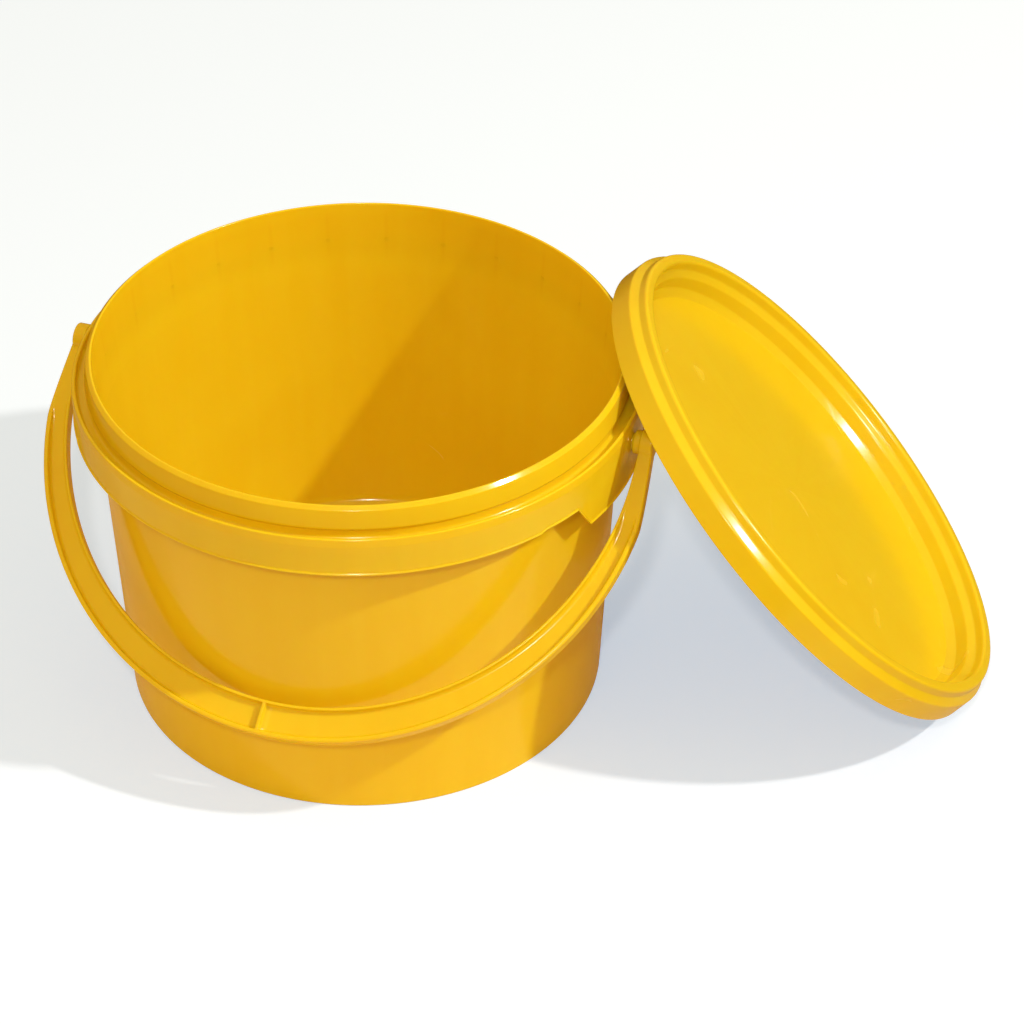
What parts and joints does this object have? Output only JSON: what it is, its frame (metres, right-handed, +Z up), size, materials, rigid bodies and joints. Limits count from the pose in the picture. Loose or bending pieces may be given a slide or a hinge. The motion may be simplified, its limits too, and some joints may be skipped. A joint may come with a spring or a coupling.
{
  "type": "honey bucket",
  "caption": "Round tapered plastic pail with a grooved snap rim, a strap handle that swings on two pins, and a dished press-on lid leaning on the rim.",
  "frame": {"origin": "on the floor, under the centre of the pail's base", "axes": "+Z up along the pail's axis, +X towards the leaning lid, -Y towards the viewer and the hanging handle"},
  "size_m": [0.3433, 0.2037, 0.1496],
  "materials": {
    "yellow_plastic": "glossy"
  },
  "bodies": {
    "bucket": {"bucket": "yellow_plastic"},
    "handle": {"handle": "yellow_plastic"},
    "lid": {"lid": "yellow_plastic"}
  },
  "joints": [
    {"name": "lid_lift", "type": "slide", "parent": "bucket", "child": "lid", "axis": [0.7254, 0, 0.6884], "range_m": [0, 0.3]},
    {"name": "handle_swing", "type": "hinge", "parent": "bucket", "child": "handle", "pos_m": [0, 0, 0.118], "axis": [-0.9426, 0.3338, 0], "range_deg": [0, 255.84]}
  ],
  "couplings": [
    {"joint": "handle_swing", "follows": "lid_lift", "rad_per_m": 14.884}
  ]
}
